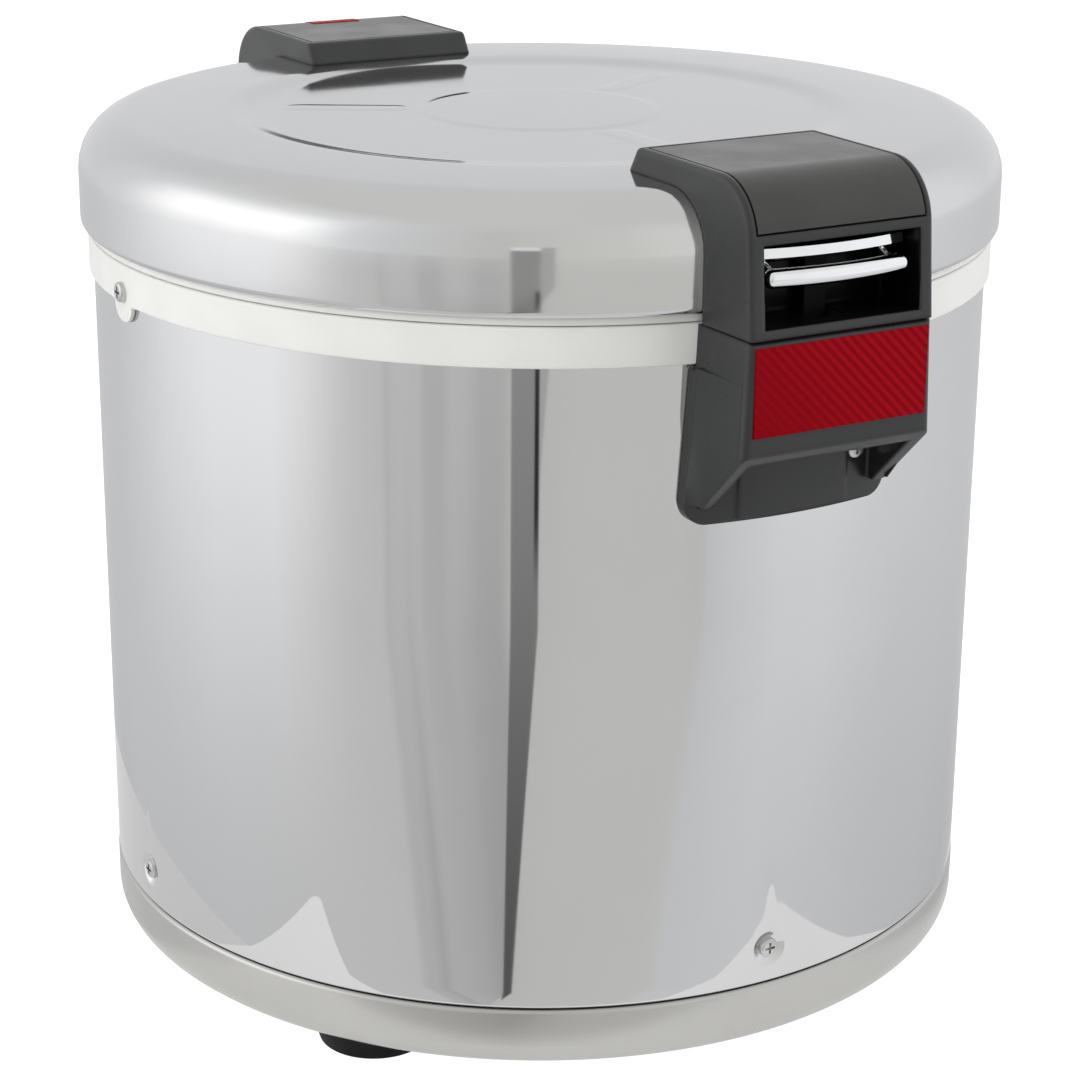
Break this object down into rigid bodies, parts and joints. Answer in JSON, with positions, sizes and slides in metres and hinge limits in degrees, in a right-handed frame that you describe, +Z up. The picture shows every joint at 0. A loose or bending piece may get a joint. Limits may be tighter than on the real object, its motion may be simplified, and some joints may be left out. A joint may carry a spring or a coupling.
{
  "type": "rice cooker",
  "caption": "Round polished-steel rice cooker with an insulated body, a lift-out pot, a hinged and latched lid, and dark lift blocks front and rear.",
  "frame": {"origin": "on the body's vertical axis, on the plane that the feet stand on", "axes": "+Z up, -Y towards the latch at the front, +Y towards the hinge, +X to the right when facing +Y"},
  "size_m": [0.406, 0.4654, 0.3903],
  "materials": {
    "rubber_black": "matt moulded rubber",
    "pan_steel": "satin pressed stainless steel",
    "screw_steel": "bright zinc plated steel",
    "polished_steel": "mirror polished stainless steel",
    "liner_steel": "plain stainless steel",
    "white_plastic": "satin warm white moulding",
    "pot_aluminium": "spun anodised aluminium",
    "insulation_fibre": "pale glass-fibre blanket",
    "terminal_ceramic": "unglazed pale ceramic",
    "lead_cover": "pale heat-proof sleeving",
    "charcoal_plastic": "fine spark-textured charcoal moulding",
    "panel_plastic": "finer, slightly glossier charcoal moulding",
    "contact_brass": "plain brass",
    "red_plate": "deep red lacquer with tone-on-tone slanting stripes",
    "chrome": "bright chrome",
    "gasket_silicone": "translucent grey silicone",
    "rocker_plastic": "gloss black moulding"
  },
  "bodies": {
    "body": {"foot_front_left": "rubber_black", "foot_front_right": "rubber_black", "foot_rear_left": "rubber_black", "foot_rear_right": "rubber_black", "base_pan": "pan_steel", "bottom_cover": "pan_steel", "bottom_cover_screws": "screw_steel", "foot_screws": "screw_steel", "outer_shell": "polished_steel", "shell_screws": "screw_steel", "top_collar": "white_plastic", "collar_screws": "screw_steel", "inner_liner": "liner_steel", "inner_pot": "pot_aluminium", "heater_plate": "pot_aluminium", "heater_ring": "liner_steel", "side_heater_band": "liner_steel", "liner_insulation": "insulation_fibre", "heat_shield": "pan_steel", "shield_posts": "pan_steel", "thermostat": "terminal_ceramic", "thermal_fuse": "terminal_ceramic", "terminal_block": "terminal_ceramic", "supply_leads": "lead_cover", "heater_leads": "lead_cover", "rear_panel": "charcoal_plastic", "inlet_pins": "contact_brass", "latch_bracket": "charcoal_plastic", "latch_keeper": "screw_steel", "front_label_plate": "red_plate", "latch_bracket_screws": "screw_steel", "hinge_bracket": "charcoal_plastic", "hinge_bracket_screws": "screw_steel", "hinge_pin": "screw_steel"},
    "lid": {"lid_shell": "polished_steel", "lid_rim_ring": "white_plastic", "lid_gasket": "gasket_silicone", "lid_inner_plate": "liner_steel", "inner_plate_screws": "screw_steel", "lid_insulation": "insulation_fibre", "block_screws": "screw_steel", "lid_handle": "charcoal_plastic", "handle_top_panel": "panel_plastic", "latch_pin": "screw_steel", "latch_spring": "screw_steel", "hinge_cover": "charcoal_plastic", "hinge_top_panel": "panel_plastic", "hinge_marker": "red_plate", "lid_hinge_arms": "screw_steel"},
    "latch": {"latch_lever": "chrome", "latch_hook": "screw_steel"},
    "rocker": {"switch_rocker": "rocker_plastic"}
  },
  "joints": [
    {"name": "lid_hinge", "type": "hinge", "parent": "body", "child": "lid", "pos_m": [0, 0.2188, 0.333], "axis": [-1, 0, 0], "range_deg": [0, 90]},
    {"name": "latch_pull", "type": "hinge", "parent": "lid", "child": "latch", "pos_m": [0, -0.214, 0.3595], "axis": [-1, 0, 0], "range_deg": [0, 12], "stiffness_Nm_per_rad": 0.5, "springref_deg": -11.46},
    {"name": "rocker_tilt", "type": "hinge", "parent": "body", "child": "rocker", "pos_m": [0.024, 0.1945, 0.11], "axis": [0, 0, 1], "range_deg": [0, 16]}
  ]
}
